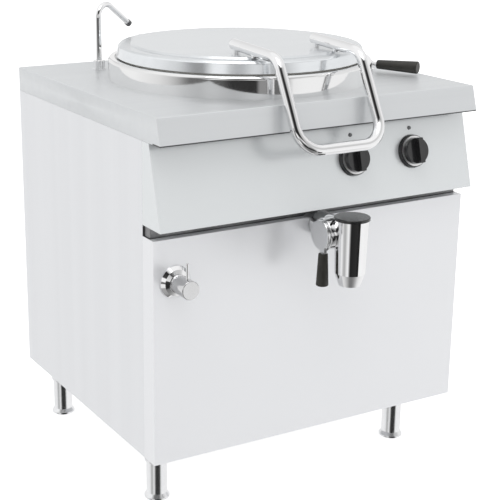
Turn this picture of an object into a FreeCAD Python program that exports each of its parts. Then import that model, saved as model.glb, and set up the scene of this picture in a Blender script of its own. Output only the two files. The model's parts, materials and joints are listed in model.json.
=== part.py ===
import FreeCAD, Part
import math
import os

# Free-standing jacketed boiling kettle for a catering kitchen.
# Millimetres, +Z up, +X to the right of someone who faces the control panel, front towards -Y.
# The origin lies on the floor, in the middle of the kettle's whole length and width.

V = FreeCAD.Vector
X_AXIS = V(1, 0, 0)
Y_AXIS = V(0, 1, 0)
Z_AXIS = V(0, 0, 1)

# Pan, and the room round its collar that sets the cabinet's width and depth
pan_r = 250.0
collar_out = 53.0
side_space = 97.0
front_space = 30.0
back_space = 62.0

# Cabinet
top_z = 900.0
base_z = 148.0
sheet = 1.5
top_sheet = 2.0
panel_gap = 0.3
lip_overhang = 32.0
lip_slant = 16.0
lip_drop = 53.0
bead_r = 3.0
top_edge_r = 3.0
skirt_h = 56.0

# Front
control_h = 168.0
front_return = 47.0
panel_flange = 18.0
shadow_gap = 24.0
control_foot_out = 31.0
control_head_in = 15.0
control_head_drop = 63.0

# Frame of steel angle
angle_w = 30.0
angle_t = 3.0
frame_front_in = 22.0
frame_side_gap = 4.0
crossbar_h = 55.0
crossbar_drop = 15.0

# Kettle
pan_wall = 2.0
drain_up = 29.0
pan_corner_r = 30.0
pan_rim_fit = 1.0
pan_rim_under = 4.0
jacket_space = 31.0
jacket_wall = 2.0
jacket_top_drop = 62.0
jacket_sump = 81.0
blanket_t = 14.5
blanket_top_drop = 55.0
blanket_under = 25.0
collar_h = 48.0
collar_t = 2.0
collar_lap = 13.0
collar_edge_r = 7.0
collar_seat = 2.0

# Lid
lid_gap = 2.5
lid_inset = 19.0
lid_skirt_h = 21.5
lid_lean = 3.0
lid_chamfer = 5.0
lid_sheet = 1.5
lid_border = 36.0
lid_step = 4.0
lid_inner_fit = 0.2
gasket_out = 18.0
gasket_w = 12.0
gasket_clear = 0.3

# Lid handle
handle_r = 12.0
handle_wall = 1.5
handle_half = 104.4
handle_rise = 18.0
handle_tail_in = 137.0
handle_bend_out = 37.0
handle_fall = 8.0
handle_bar_out = 134.0
handle_bar_drop = 87.0
handle_bend_r = 42.0
handle_corner_r = 52.0
boss_r = 9.0
boss_tail_in = 12.0
boss_front_in = 49.0

# Lid hinge
hinge_gap = 44.0
hinge_up = 36.0
shaft_r = 8.0
shaft_over = 11.0
shaft_fit = 0.05
eye_r = 13.0
arm_x = 82.0
arm_t = 8.0
arm_depth = 11.0
bracket_gap = 19.0
bracket_t = 14.0
bracket_foot = 34.0
bracket_foot_t = 4.0
bracket_len = 32.0
housing_r = 17.0
housing_wall = 2.0
housing_gap = 12.0
housing_foot_w = 8.0
spring_wire_r = 1.5
spring_clear = 0.3
spring_pitch = 4.0
spring_turns = 14

# Screws
screw_r = 2.0
screw_fit = 0.1
screw_head_r = 4.2
screw_head_h = 2.2
screw_len = 9.0
back_screw_inset = 14.0

# Drain
drain_drop = 13.0
drain_bore_r = 20.0
drain_wall = 4.0
pipe_fit = 0.1
tap_out = 84.0
spout_out = 124.0
barrel_r = 35.0
barrel_left = 46.0
barrel_right = 40.0
barrel_edge_r = 2.0
neck_r = 29.0
neck_gap = 12.0
neck_socket = 16.0
plug_r = 26.0
plug_fit = 0.05
plug_end_wall = 4.0
plug_bore_r = 16.0
spout_top_r = 36.0
spout_low_r = 33.0
spout_up = 36.0
spout_down = 78.5
spout_bore_r = 24.0
outlet_r = 24.0
outlet_bore_r = 19.0
outlet_h = 26.5
outlet_plug_h = 14.0
cap_r = 38.0
cap_h = 6.0
cap_edge_r = 2.0
cap_seat = 1.0
cap_plug_h = 12.0
lever_gap = 0.5
lever_hub_r = 32.0
lever_hub_t = 7.0
lever_forward = 11.0
lever_arm_w = 16.0
lever_reach = 37.0
lever_stem_r = 5.0
lever_stem_len = 52.0
drain_grip_r0 = 10.0
drain_grip_r1 = 13.4
drain_grip_len = 71.0
grip_round = 2.5
strainer_clear = 0.3
strainer_t = 1.5
strainer_len = 15.0
strainer_hole_r = 2.0
strainer_rows = (0.0, 6.5, 13.0)

# Water tap on the front panel
tap_inset = 50.0
tap_drop = 92.0
rosette_r = 36.0
rosette_h = 14.0
head_r = 20.0
head_gap = 1.5
head_len = 52.0
head_edge_r = 2.0
stem_r = 11.0
stem_fit = 0.05
pin_r = 2.6
pin_len = 34.0
pin_deep = 8.0
pin_from_end = 16.0
valve_r = 14.0
valve_len = 44.0
stem_deep = 12.0
pipe_r = 6.0
pipe_bend_r = 20.0
riser_back = 36.0
riser_up = 22.0

# Water column with its swan neck
column_gap = 40.0
column_deg = 135.8
column_r = 7.0
column_wall = 1.2
column_fit = 0.05
column_arc_up = 123.0
column_arc_r = 28.0
column_slope = 34.0
column_arm = 82.0
column_turn = 25.0
column_deep = 4.0
nut_r = 14.0
nut_h = 20.0
nut_flange_r = 16.0
nut_flange_h = 3.0
shank_r = 10.0
shank_len = 20.0
shank_fit = 0.1
nozzle_r = 8.0
nozzle_len = 10.0
nozzle_lap = 5.0
nozzle_bore_r = 5.0

# Jacket vent valve with its hand lever
vent_gap = 19.8
vent_deg = -14.16
vent_body_r = 13.0
vent_body_h = 40.0
vent_body_drop = 4.0
vent_neck_r = 8.0
vent_nut_r = 12.0
vent_nut_h = 6.0
vent_bore_r = 5.0
vent_stub_r = 6.0
vent_stub_drop = 40.0
vent_spindle_deep = 20.0
vent_spindle_top = 8.0
vent_lever_z = 19.0
vent_rod_r = 5.5
vent_knuckle_r = 6.5
vent_grip_dx0 = 4.0
vent_grip_dy0 = -26.0
vent_grip_dx1 = 56.0
vent_grip_dy1 = -113.0
vent_grip_r0 = 10.5
vent_grip_r1 = 14.6
vent_rod_deep = 60.0

# Control knobs and pilot lamps
knob_share = 0.56
thermostat_inset = 156.0
knob_step = 160.0
knob_gap = 1.0
knob_skirt_r = 37.5
knob_skirt_r1 = 35.5
knob_skirt_h = 8.0
knob_r = 29.5
knob_h = 36.0
knob_taper = 1.5
knob_ring_r = 33.5
knob_ring_h = 2.5
knob_bar_w = 12.0
knob_bar_cut = 14.0
knob_shaft_r = 4.0
knob_shaft_fit = 0.05
knob_shaft_deep = 20.0
knob_shaft_up = 16.0
control_box_w = 42.0
control_box_t = 34.0
lamp_share = 0.355
lamp_r = 4.5
lamp_up = 2.5
lamp_neck_r = 3.6
lamp_neck_fit = 0.1
lamp_neck_len = 18.0

# Legs
leg_side_in = 70.0
leg_front_in = 125.0
leg_back_in = 48.0
sleeve_r = 26.0
sleeve_low = 92.0
sleeve_flange_r = 31.0
sleeve_flange_h = 4.0
sleeve_collar_r = 27.5
sleeve_collar_h = 6.0
sleeve_bore_r = 20.0
sleeve_roof = 4.0
foot_fit = 0.3
foot_gap = 0.3
foot_r = 23.5
foot_travel = 38.0
foot_flange_r = 29.0
foot_flange_h = 8.0
foot_flare_h = 8.0
foot_pad_r = 15.0
foot_pad_h = 5.0
foot_bore_r = 16.0
stud_r = 6.0
stud_len = 16.0
stud_fit = 0.1

# Heating and electrical
element_r = 5.0
element_count = 3
element_inset = 40.0
element_step = 50.0
element_up = 36.0
element_gap_deg = 24.0
element_tail = 34.0
element_fit = 0.1
box_side_in = 110.0
box_back_in = 120.0
box_w = 120.0
box_l = 70.0
box_h = 90.0
box_wall = 2.0
gland_bore_r = 6.5
gland_neck_r = 8.0
gland_neck_fit = 0.1
gland_nut_r = 12.0
gland_nut_h = 16.0
inlet_r = 10.45
inlet_len = 16.0
inlet_flange_r = 15.0
inlet_flange_h = 4.0
inlet_hex_r = 14.0
inlet_hex_h = 12.0
inlet_back_in = 180.0

# Louvres in the back panel
slot_count = 8
slot_w = 70.0
slot_h = 6.0
slot_step = 16.0
slot_side_in = 220.0
slot_up = 82.0

# Places worked out from the sizes above
collar_r = pan_r + collar_out
lid_skirt_r = collar_r - lid_inset
lid_plate_r = lid_skirt_r - lid_border
gasket_r = pan_r + gasket_out
width = 2 * (collar_r + side_space)
depth = lip_overhang + front_space + 2 * collar_r + back_space
half_w = width / 2
front_reach = spout_out + cap_r - lip_overhang
back_y = (depth + front_reach - screw_head_h) / 2
lip_y = back_y - depth
face_y = lip_y + lip_overhang
skirt_z = top_z - skirt_h
kettle_y = face_y + front_space + collar_r
collar_top = top_z + collar_h
collar_cap_z = collar_top - pan_rim_under
rim_z = collar_cap_z
control_head_z = top_z - control_head_drop
control_low = control_head_z - control_h
front_top = control_low - shadow_gap
drain_z = front_top - drain_drop
pan_floor = drain_z - drain_up
spout_top = drain_z + spout_up
spout_low = drain_z - spout_down
tap_z = front_top - tap_drop
knob_z = control_low + knob_share * control_h
lamp_z = knob_z + knob_skirt_r + lamp_share * (control_head_z - knob_z - knob_skirt_r)
pan_out_r = pan_r + pan_wall
pan_rim_r = collar_r - collar_t - pan_rim_fit
jacket_in_r = pan_out_r + jacket_space
jacket_r = jacket_in_r + jacket_wall
jacket_top = rim_z - jacket_top_drop
jacket_floor = pan_floor - pan_wall - jacket_sump
blanket_r = jacket_r + blanket_t
blanket_top = top_z - blanket_top_drop
blanket_low = jacket_floor - jacket_wall - blanket_under
lid_low = collar_top + lid_gap
lid_rim_z = lid_low + lid_skirt_h + lid_chamfer
lid_top = lid_rim_z + lid_step
hinge_y = kettle_y + collar_r + hinge_gap
hinge_z = top_z + hinge_up
housing_half = arm_x - arm_t / 2 - housing_gap
bracket_x = arm_x + arm_t / 2 + bracket_gap + bracket_t / 2
shaft_half = bracket_x + bracket_t / 2 + shaft_over
control_tilt = math.atan2(control_foot_out + control_head_in, control_head_z - control_low)
tap_y = face_y - tap_out
spout_y = face_y - spout_out
column_x = (collar_r + column_gap) * math.cos(math.radians(column_deg))
column_y = kettle_y + (collar_r + column_gap) * math.sin(math.radians(column_deg))
vent_x = (collar_r + vent_gap) * math.cos(math.radians(vent_deg))
vent_y = kettle_y + (collar_r + vent_gap) * math.sin(math.radians(vent_deg))
vent_grip_z = top_z + vent_lever_z
handle_tail_y = kettle_y - lid_skirt_r + handle_tail_in
handle_bend_y = kettle_y - lid_skirt_r - handle_bend_out
handle_bar_y = kettle_y - lid_skirt_r - handle_bar_out
tap_x = tap_inset - half_w
thermostat_x = half_w - thermostat_inset
switch_x = thermostat_x - knob_step
leg_x = half_w - leg_side_in
box_x = box_side_in - half_w
box_y = back_y - box_back_in
inlet_y = back_y - inlet_back_in
slot_x = half_w - slot_side_in
slot_z = base_z + slot_up
element_rings = [pan_r - element_inset - i * element_step for i in range(element_count)]


def block(x0, x1, y0, y1, z0, z1):
    return Part.makeBox(x1 - x0, y1 - y0, z1 - z0, V(x0, y0, z0))


def rod(r, length, base, axis=Z_AXIS):
    return Part.makeCylinder(r, length, base, axis)


def cone(r0, r1, length, base, axis=Z_AXIS):
    return Part.makeCone(r0, r1, length, base, axis)


def ring(r_out, r_in, z0, z1, x=0.0, y=0.0):
    over = 1.0
    outer = rod(r_out, z1 - z0, V(x, y, z0))
    return outer.cut(rod(r_in, z1 - z0 + 2 * over, V(x, y, z0 - over)))


def join(shapes):
    result = shapes[0]
    for shape in shapes[1:]:
        result = result.fuse(shape)
    return result.removeSplitter()


def round_edges(shape, radius, keep):
    edges = [edge for edge in shape.Edges if keep(edge)]
    return shape.makeFillet(radius, edges)


def is_circle(edge, radius, z):
    curve = edge.Curve
    same = isinstance(curve, Part.Circle) and abs(curve.Radius - radius) < 0.01
    return same and abs(edge.BoundBox.ZMin - z) < 0.01 and abs(edge.BoundBox.ZMax - z) < 0.01


def prism_x(points, x0, x1):
    wire = Part.makePolygon([V(x0, y, z) for y, z in points] + [V(x0, points[0][0], points[0][1])])
    return Part.Face(wire).extrude(V(x1 - x0, 0, 0))


def turned(points, x=0.0, y=0.0):
    # points are radius and height; the shape is turned about the vertical through x and y
    corners = [V(x + r, y, z) for r, z in points]
    face = Part.Face(Part.makePolygon(corners + [corners[0]]))
    return face.revolve(V(x, y, 0), Z_AXIS, 360)


def rounded_path(points, radii):
    edges = []
    start = points[0]
    for i in range(1, len(points) - 1):
        corner = points[i]
        a = (points[i - 1] - corner).normalize()
        b = (points[i + 1] - corner).normalize()
        half = a.getAngle(b) / 2
        run = radii[i - 1] / math.tan(half)
        first = corner + a * run
        last = corner + b * run
        bisector = (a + b).normalize()
        centre = corner + bisector * (radii[i - 1] / math.sin(half))
        middle = centre - bisector * radii[i - 1]
        edges.append(Part.LineSegment(start, first).toShape())
        edges.append(Part.Arc(first, middle, last).toShape())
        start = last
    edges.append(Part.LineSegment(start, points[-1]).toShape())
    return Part.Wire(edges)


def swept(points, radii, r):
    path = rounded_path(points, radii)
    heading = points[1] - points[0]
    section = Part.Wire(Part.makeCircle(r, points[0], heading))
    return path.makePipeShell([section], True, True)


def tube(points, radii, r_out, r_in):
    return swept(points, radii, r_out).cut(swept(points, radii, r_in))


def on_panel(shape, x, z):
    # the shape is drawn about the origin with +Z as the panel's outward normal
    along = (control_head_z - z) / (control_head_z - control_low)
    y = face_y + control_head_in - along * (control_foot_out + control_head_in)
    lean = math.degrees(control_tilt)
    placed = shape.copy()
    placed.rotate(V(0, 0, 0), X_AXIS, 90 - lean)
    placed.translate(V(x, y, z))
    return placed


def save(name, shape):
    shape.exportStep(os.path.join("parts", name + ".step"))


def screw(tip_base, axis):
    shank = rod(screw_r, screw_len, tip_base, axis)
    head = rod(screw_head_r, screw_head_h, tip_base - axis * screw_head_h, axis)
    return shank.fuse(head).removeSplitter()


def screw_hole(tip_base, axis):
    return rod(screw_r + screw_fit, screw_len * 2, tip_base - axis * screw_len, axis)


# Cabinet sheet metal

def worktop_outline(inset, low):
    slant = lip_slant / lip_drop
    lip_bottom = top_z - lip_drop
    front_low = lip_y + inset * math.sqrt(1 + slant * slant)
    front_low += slant * (low - lip_bottom) * -1 if low > lip_bottom else 0.0
    rear = back_y - inset
    roof = top_z - inset
    front_high = front_low + slant * (roof - max(low, lip_bottom))
    points = [(front_low, lip_bottom), (front_high, roof), (rear, roof), (rear, low)]
    if low < lip_bottom:
        points.append((front_low, low))
    return points


def make_worktop():
    outer = prism_x(worktop_outline(0.0, skirt_z), -half_w, half_w)
    outer = round_edges(outer, top_edge_r, lambda e: e.BoundBox.ZMin > top_z - 0.01)
    inner = prism_x(worktop_outline(top_sheet, skirt_z - 10 * top_sheet), -half_w + top_sheet, half_w - top_sheet)
    shell = outer.cut(inner)
    lip_bottom = top_z - lip_drop
    bead_y = lip_y + bead_r
    bead = rod(bead_r, width, V(-half_w, bead_y, lip_bottom), X_AXIS)
    shell = join([shell, bead])
    hole_r = collar_r - collar_t - collar_seat
    cuts = [rod(hole_r, 10 * top_sheet, V(0, kettle_y, top_z - 5 * top_sheet))]
    cuts.append(rod(shank_r + shank_fit, 10 * top_sheet, V(column_x, column_y, top_z - 5 * top_sheet)))
    cuts.append(rod(vent_neck_r, 10 * top_sheet, V(vent_x, vent_y, top_z - 5 * top_sheet)))
    for base in bracket_screw_bases():
        cuts.append(screw_hole(base, Z_AXIS * -1))
    for cut in cuts:
        shell = shell.cut(cut)
    return shell


def make_side_panel(side):
    x_out = side * half_w
    x_in = side * (half_w - sheet)
    y0 = face_y + front_return + panel_gap
    z1 = skirt_z - panel_gap
    plate = block(min(x_out, x_in), max(x_out, x_in), y0, back_y, base_z, z1)
    x_flange = side * (half_w - panel_flange)
    flange = block(min(x_out, x_flange), max(x_out, x_flange), y0, back_y, base_z, base_z + sheet)
    return join([plate, flange])


def back_screw_bases():
    bases = []
    x = half_w - sheet - panel_gap - back_screw_inset
    for side in (-1, 1):
        for z in (base_z + back_screw_inset, (base_z + skirt_z) / 2, skirt_z - back_screw_inset):
            bases.append(V(side * x, back_y, z))
    return bases


def make_back_panel():
    x = half_w - sheet - panel_gap
    z0 = base_z + sheet + panel_gap
    plate = block(-x, x, back_y - sheet, back_y, z0, skirt_z - panel_gap)
    for side in (-1, 1):
        for i in range(slot_count):
            x_mid = side * slot_x
            z = slot_z + i * slot_step
            slot = block(x_mid - slot_w / 2, x_mid + slot_w / 2, back_y - 2 * sheet, back_y + sheet, z, z + slot_h)
            plate = plate.cut(slot)
    for base in back_screw_bases():
        plate = plate.cut(screw_hole(base, Y_AXIS * -1))
    return plate


def make_front_panel():
    outer = block(-half_w, half_w, face_y, face_y + front_return, base_z, front_top)
    inner = block(-half_w + sheet, half_w - sheet, face_y + sheet, face_y + 2 * front_return,
                  base_z + sheet, front_top - sheet)
    tray = outer.cut(inner)
    open_back = block(-half_w + sheet, half_w - sheet, face_y + panel_flange, face_y + 2 * front_return,
                      base_z - sheet, front_top + sheet)
    tray = tray.cut(open_back)
    tray = tray.cut(rod(drain_bore_r + drain_wall + pipe_fit, 2 * front_return, V(0, face_y - sheet, drain_z), Y_AXIS))
    return tray.cut(rod(stem_r + 1.0, 2 * panel_flange, V(tap_x, face_y - sheet, tap_z), Y_AXIS))


def control_outline(inset):
    # inset moves every wall but the open back inwards by the sheet's thickness
    slope = math.tan(control_tilt)
    lift = inset / math.cos(control_tilt)
    high = skirt_z - panel_gap - inset
    low = control_low + inset
    y_foot = face_y - control_foot_out + lift + slope * inset
    y_head = y_foot + slope * (high - low)
    y_back = face_y + front_return + (10 * inset)
    return [(y_foot, low), (y_head, high), (y_back, high), (y_back, low)]


def make_control_panel():
    outer = prism_x(control_outline(0.0), -half_w, half_w)
    inner = prism_x(control_outline(sheet), -half_w + sheet, half_w - sheet)
    shell = outer.cut(inner)
    open_back = block(-half_w + sheet, half_w - sheet, face_y + panel_flange, face_y + 2 * front_return,
                      control_low - sheet, skirt_z)
    shell = shell.cut(open_back)
    deep = 10 * sheet
    for x in (thermostat_x, switch_x):
        shell = shell.cut(on_panel(rod(knob_shaft_r + 1.0, 2 * deep, V(0, 0, -deep)), x, knob_z))
        shell = shell.cut(on_panel(rod(lamp_neck_r + lamp_neck_fit, 2 * deep, V(0, 0, -deep)), x, lamp_z))
    return shell


def leg_places():
    places = {}
    for side, word in ((-1, "left"), (1, "right")):
        places["front_" + word] = (side * leg_x, face_y + leg_front_in)
        places["back_" + word] = (side * leg_x, back_y - leg_back_in)
    return places


def make_bottom_tray():
    x = half_w - panel_flange - panel_gap
    tray = block(-x, x, face_y + panel_flange + panel_gap, back_y - sheet - panel_gap, base_z, base_z + sheet)
    for leg in leg_places().values():
        tray = tray.cut(rod(stud_r + stud_fit, 4 * sheet, V(leg[0], leg[1], base_z - sheet)))
    tray = tray.cut(rod(gland_neck_r + gland_neck_fit, 4 * sheet, V(box_x, box_y, base_z - sheet)))
    return tray.cut(rod(inlet_r + gland_neck_fit, 4 * sheet, V(tap_x, inlet_y, base_z - sheet)))


def make_main_frame():
    x = half_w - frame_side_gap
    y0 = face_y + frame_front_in
    y1 = back_y - frame_side_gap
    z0 = base_z + sheet
    z1 = top_z - top_sheet
    pieces = []
    for low, plate_low in ((z0, z0), (z1 - angle_w, z1 - angle_t)):
        upright = block(-x, x, y0, y1, low, low + angle_w)
        inside = block(-x + angle_t, x - angle_t, y0 + angle_t, y1 - angle_t, low - 1, low + angle_w + 1)
        pieces.append(upright.cut(inside))
        flat = block(-x, x, y0, y1, plate_low, plate_low + angle_t)
        window = block(-x + angle_w, x - angle_w, y0 + angle_w, y1 - angle_w, plate_low - 1, plate_low + angle_t + 1)
        pieces.append(flat.cut(window))
    for side in (-1, 1):
        for y, inward in ((y0, 1), (y1, -1)):
            along_y = sorted((y, y + inward * angle_w))
            thin_y = sorted((y, y + inward * angle_t))
            along_x = sorted((side * x, side * (x - angle_w)))
            thin_x = sorted((side * x, side * (x - angle_t)))
            pieces.append(block(thin_x[0], thin_x[1], along_y[0], along_y[1], z0, z1))
            pieces.append(block(along_x[0], along_x[1], thin_y[0], thin_y[1], z0, z1))
    bar_z = front_top - crossbar_drop
    bar = block(-x, x, y0, y0 + angle_t, bar_z, bar_z + crossbar_h)
    bar = bar.cut(rod(drain_bore_r + drain_wall + pipe_fit, 4 * angle_t, V(0, y0 - angle_t, drain_z), Y_AXIS))
    pieces.append(bar)
    for leg_y in (face_y + leg_front_in, back_y - leg_back_in):
        strip = block(-x, x, leg_y - angle_w / 2, leg_y + angle_w / 2, z0, z0 + angle_t)
        pieces.append(strip)
    frame = join(pieces)
    for leg in leg_places().values():
        frame = frame.cut(rod(stud_r + stud_fit, 4 * angle_t, V(leg[0], leg[1], z0 - angle_t)))
    for base in back_screw_bases():
        frame = frame.cut(screw_hole(base, Y_AXIS * -1))
    for base in bracket_screw_bases():
        frame = frame.cut(screw_hole(base, Z_AXIS * -1))
    return frame


# Kettle

def pan_body(r, low, corner):
    body = rod(r, rim_z - low, V(0, kettle_y, low))
    return round_edges(body, corner, lambda e: is_circle(e, r, low))


def make_inner_pan():
    outer = pan_body(pan_out_r, pan_floor - pan_wall, pan_corner_r + pan_wall)
    rim = rod(pan_rim_r, pan_wall, V(0, kettle_y, rim_z - pan_wall))
    pan = outer.fuse(rim).cut(pan_body(pan_r, pan_floor, pan_corner_r))
    pan = pan.removeSplitter()
    return pan.cut(drain_core(drain_bore_r, kettle_y - 2 * pan_r, kettle_y - pan_r / 2))


def drain_core(r, y0, y1):
    return rod(r, y1 - y0, V(0, y0, drain_z), Y_AXIS)


def make_jacket_shell():
    outer = rod(jacket_r, jacket_top - jacket_floor + jacket_wall, V(0, kettle_y, jacket_floor - jacket_wall))
    inner = rod(jacket_in_r, jacket_top - jacket_wall - jacket_floor, V(0, kettle_y, jacket_floor))
    shell = outer.cut(inner).cut(rod(pan_out_r, 3 * jacket_wall, V(0, kettle_y, jacket_top - 2 * jacket_wall)))
    shell = shell.cut(drain_core(drain_bore_r + drain_wall, kettle_y - 2 * jacket_r, kettle_y - pan_r / 2))
    for tail in element_tails():
        shell = shell.cut(rod(element_r + element_fit, 4 * jacket_wall, V(tail[0], tail[1], jacket_floor - 2 * jacket_wall)))
    return shell


def make_insulation():
    outer = rod(blanket_r, blanket_top - blanket_low, V(0, kettle_y, blanket_low))
    inner = rod(jacket_r, blanket_top, V(0, kettle_y, jacket_floor - jacket_wall))
    blanket = outer.cut(inner)
    blanket = blanket.cut(drain_core(drain_bore_r + drain_wall + pipe_fit, kettle_y - 2 * jacket_r, kettle_y - pan_r / 2))
    for tail in element_tails():
        blanket = blanket.cut(rod(element_r + 1.0, 4 * blanket_under, V(tail[0], tail[1], blanket_low - blanket_under)))
    return blanket


def make_pan_collar():
    outer = ring(collar_r, collar_r - collar_t - collar_lap, top_z, collar_top, 0, kettle_y)
    outer = round_edges(outer, collar_edge_r, lambda e: is_circle(e, collar_r, collar_top))
    inside = rod(collar_r - collar_t, collar_cap_z - top_z, V(0, kettle_y, top_z))
    collar = outer.cut(inside)
    inner_r = collar_r - collar_t - collar_lap
    return round_edges(collar, collar_t / 2, lambda e: is_circle(e, inner_r, collar_top))


def element_tails():
    tails = []
    for r in element_rings:
        for side in (-1, 1):
            angle = math.radians(90 + side * element_gap_deg / 2)
            tails.append((r * math.cos(angle), kettle_y + r * math.sin(angle)))
    return tails


def make_heating_elements():
    z = jacket_floor + element_up
    solids = []
    for i, r in enumerate(element_rings):
        left = 90 + element_gap_deg / 2
        right = 90 - element_gap_deg / 2 + 360
        path = Part.makeCircle(r, V(0, kettle_y, z), Z_AXIS, left, right)
        start = path.valueAt(path.FirstParameter)
        heading = path.tangentAt(path.FirstParameter)
        loop = Part.Wire([path]).makePipeShell([Part.Wire(Part.makeCircle(element_r, start, heading))], True, True)
        pieces = [loop]
        for tail in element_tails()[2 * i:2 * i + 2]:
            top = V(tail[0], tail[1], z)
            pieces.append(Part.makeSphere(element_r, top))
            pieces.append(rod(element_r, element_up + element_tail, top, Z_AXIS * -1))
        solids.append(join(pieces))
    return Part.makeCompound(solids)


# Lid and its hinge

def make_lid_shell():
    rim_r = lid_skirt_r - lid_lean
    outer = [(lid_skirt_r, lid_low), (rim_r, lid_low + lid_skirt_h), (rim_r - lid_chamfer, lid_rim_z),
             (lid_plate_r + lid_step, lid_rim_z), (lid_plate_r, lid_top), (0, lid_top)]
    t = lid_sheet
    inner = [(0, lid_top - t), (lid_plate_r - t / 2, lid_top - t), (lid_plate_r + lid_step - t / 2, lid_rim_z - t),
             (rim_r - lid_chamfer - t / 2, lid_rim_z - t), (rim_r - t, lid_low + lid_skirt_h - t / 2),
             (lid_skirt_r - t, lid_low)]
    shell = turned(outer + inner, 0, kettle_y)
    soft = lambda e: is_circle(e, rim_r, lid_low + lid_skirt_h) or is_circle(e, rim_r - lid_chamfer, lid_rim_z)
    return round_edges(shell, lid_chamfer / 2, soft)


def lid_inner_z():
    return lid_low + lid_sheet


def make_lid_inner_plate():
    lean = lid_lean * (2 * lid_sheet) / lid_skirt_h
    r = lid_skirt_r - lid_sheet - lean - lid_inner_fit
    return rod(r, lid_sheet, V(0, kettle_y, lid_inner_z()))


def make_lid_gasket():
    return ring(gasket_r + gasket_w / 2, gasket_r - gasket_w / 2, rim_z + gasket_clear, lid_inner_z(), 0, kettle_y)


def make_lid_handle():
    tail_z = lid_top + handle_rise
    bend_z = tail_z - handle_fall
    bar_z = top_z - handle_bar_drop
    side_points = [(handle_tail_y, tail_z), (handle_bend_y, bend_z), (handle_bar_y, bar_z)]
    points = [V(-handle_half, y, z) for y, z in side_points]
    points += [V(handle_half, y, z) for y, z in reversed(side_points)]
    radii = [handle_bend_r, handle_corner_r, handle_corner_r, handle_bend_r]
    outer = swept(points, radii, handle_r)
    bosses = []
    for side in (-1, 1):
        for y in (handle_tail_y - boss_tail_in, kettle_y - lid_skirt_r + boss_front_in):
            bosses.append(rod(boss_r, handle_rise - handle_wall, V(side * handle_half, y, lid_top)))
    solid = outer
    for boss in bosses:
        solid = solid.fuse(boss)
    hollow = swept(points, radii, handle_r - handle_wall)
    end_wall = handle_wall
    keep = [rod(handle_r, end_wall, V(side * handle_half, handle_tail_y, tail_z), Y_AXIS * -1)
            for side in (-1, 1)]
    shell = solid.cut(hollow)
    for plug in keep:
        shell = shell.fuse(plug.common(outer))
    return shell.removeSplitter()


def make_hinge_arms():
    root_r = lid_skirt_r - lid_lean
    arms = []
    for side in (-1, 1):
        x0 = side * arm_x - arm_t / 2
        x1 = side * arm_x + arm_t / 2
        eye = rod(eye_r, arm_t, V(x0, hinge_y, hinge_z), X_AXIS)
        high = lid_low + arm_depth + gasket_clear
        low = lid_low + gasket_clear
        root_y = kettle_y + root_r * 0.9
        bar = prism_x([(root_y, low), (hinge_y - eye_r, low), (hinge_y - eye_r, hinge_z), (hinge_y, hinge_z),
                       (hinge_y + eye_r / 2, hinge_z + eye_r * 0.8), (hinge_y, high), (root_y, high)], x0, x1)
        arm = join([bar, eye])
        arm = arm.cut(rod(lid_skirt_r + lid_inner_fit, 4 * lid_skirt_h, V(0, kettle_y, lid_low - lid_skirt_h)))
        arms.append(arm.cut(rod(shaft_r, 2 * arm_t, V(x0 - arm_t / 2, hinge_y, hinge_z), X_AXIS)))
    return Part.makeCompound(arms)


def make_hinge_shaft():
    return rod(shaft_r, 2 * shaft_half, V(-shaft_half, hinge_y, hinge_z), X_AXIS)


def bracket_screw_bases():
    bases = []
    for side in (-1, 1):
        for dy in (-1, 1):
            y = hinge_y + dy * bracket_len / 4
            x = side * (bracket_x + bracket_t / 2 + (bracket_foot - bracket_t) / 2)
            bases.append(V(x, y, top_z + bracket_foot_t))
    return bases


def make_hinge_brackets():
    brackets = []
    for side in (-1, 1):
        inner_x = side * (bracket_x - bracket_t / 2)
        outer_x = side * (bracket_x + bracket_t / 2)
        foot_x = side * (bracket_x - bracket_t / 2 + bracket_foot)
        y0 = hinge_y - bracket_len / 2
        y1 = hinge_y + bracket_len / 2
        foot = block(min(inner_x, foot_x), max(inner_x, foot_x), y0, y1, top_z, top_z + bracket_foot_t)
        ear = block(min(inner_x, outer_x), max(inner_x, outer_x), hinge_y - eye_r, hinge_y + eye_r, top_z, hinge_z)
        head = rod(eye_r, bracket_t, V(min(inner_x, outer_x), hinge_y, hinge_z), X_AXIS)
        bracket = join([foot, ear, head])
        bore = rod(shaft_r + shaft_fit, 2 * bracket_t, V(min(inner_x, outer_x) - bracket_t / 2, hinge_y, hinge_z), X_AXIS)
        bracket = bracket.cut(bore)
        for base in bracket_screw_bases():
            bracket = bracket.cut(screw_hole(base, Z_AXIS * -1))
        brackets.append(bracket)
    return Part.makeCompound(brackets)


def make_spring_housing():
    shell = rod(housing_r, 2 * housing_half, V(-housing_half, hinge_y, hinge_z), X_AXIS)
    inside = 2 * (housing_half - housing_wall)
    pieces = [shell]
    for side in (-1, 1):
        x = side * (housing_half - 2 * housing_foot_w)
        pieces.append(block(x - housing_foot_w, x + housing_foot_w, hinge_y - shaft_r, hinge_y + shaft_r, top_z, hinge_z))
    housing = join(pieces)
    housing = housing.cut(rod(housing_r - housing_wall, inside, V(-inside / 2, hinge_y, hinge_z), X_AXIS))
    return housing.cut(rod(shaft_r + shaft_fit, 3 * housing_half, V(-1.5 * housing_half, hinge_y, hinge_z), X_AXIS))


def make_hinge_spring():
    # one end hooks into the housing and the other turns with the shaft
    coil_r = housing_r - housing_wall - spring_wire_r - spring_clear
    helix = Part.makeHelix(spring_pitch, spring_turns * spring_pitch, coil_r)
    section = Part.Wire(Part.makeCircle(spring_wire_r, V(coil_r, 0, 0), Y_AXIS))
    coil = Part.Wire(helix).makePipeShell([section], True, True)
    coil.rotate(V(0, 0, 0), Y_AXIS, 90)
    coil.translate(V(-spring_turns * spring_pitch / 2, hinge_y, hinge_z))
    return coil


def make_screws():
    screws = [screw(base, Z_AXIS * -1) for base in bracket_screw_bases()]
    screws += [screw(base, Y_AXIS * -1) for base in back_screw_bases()]
    return Part.makeCompound(screws)


# Drain tap

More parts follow.
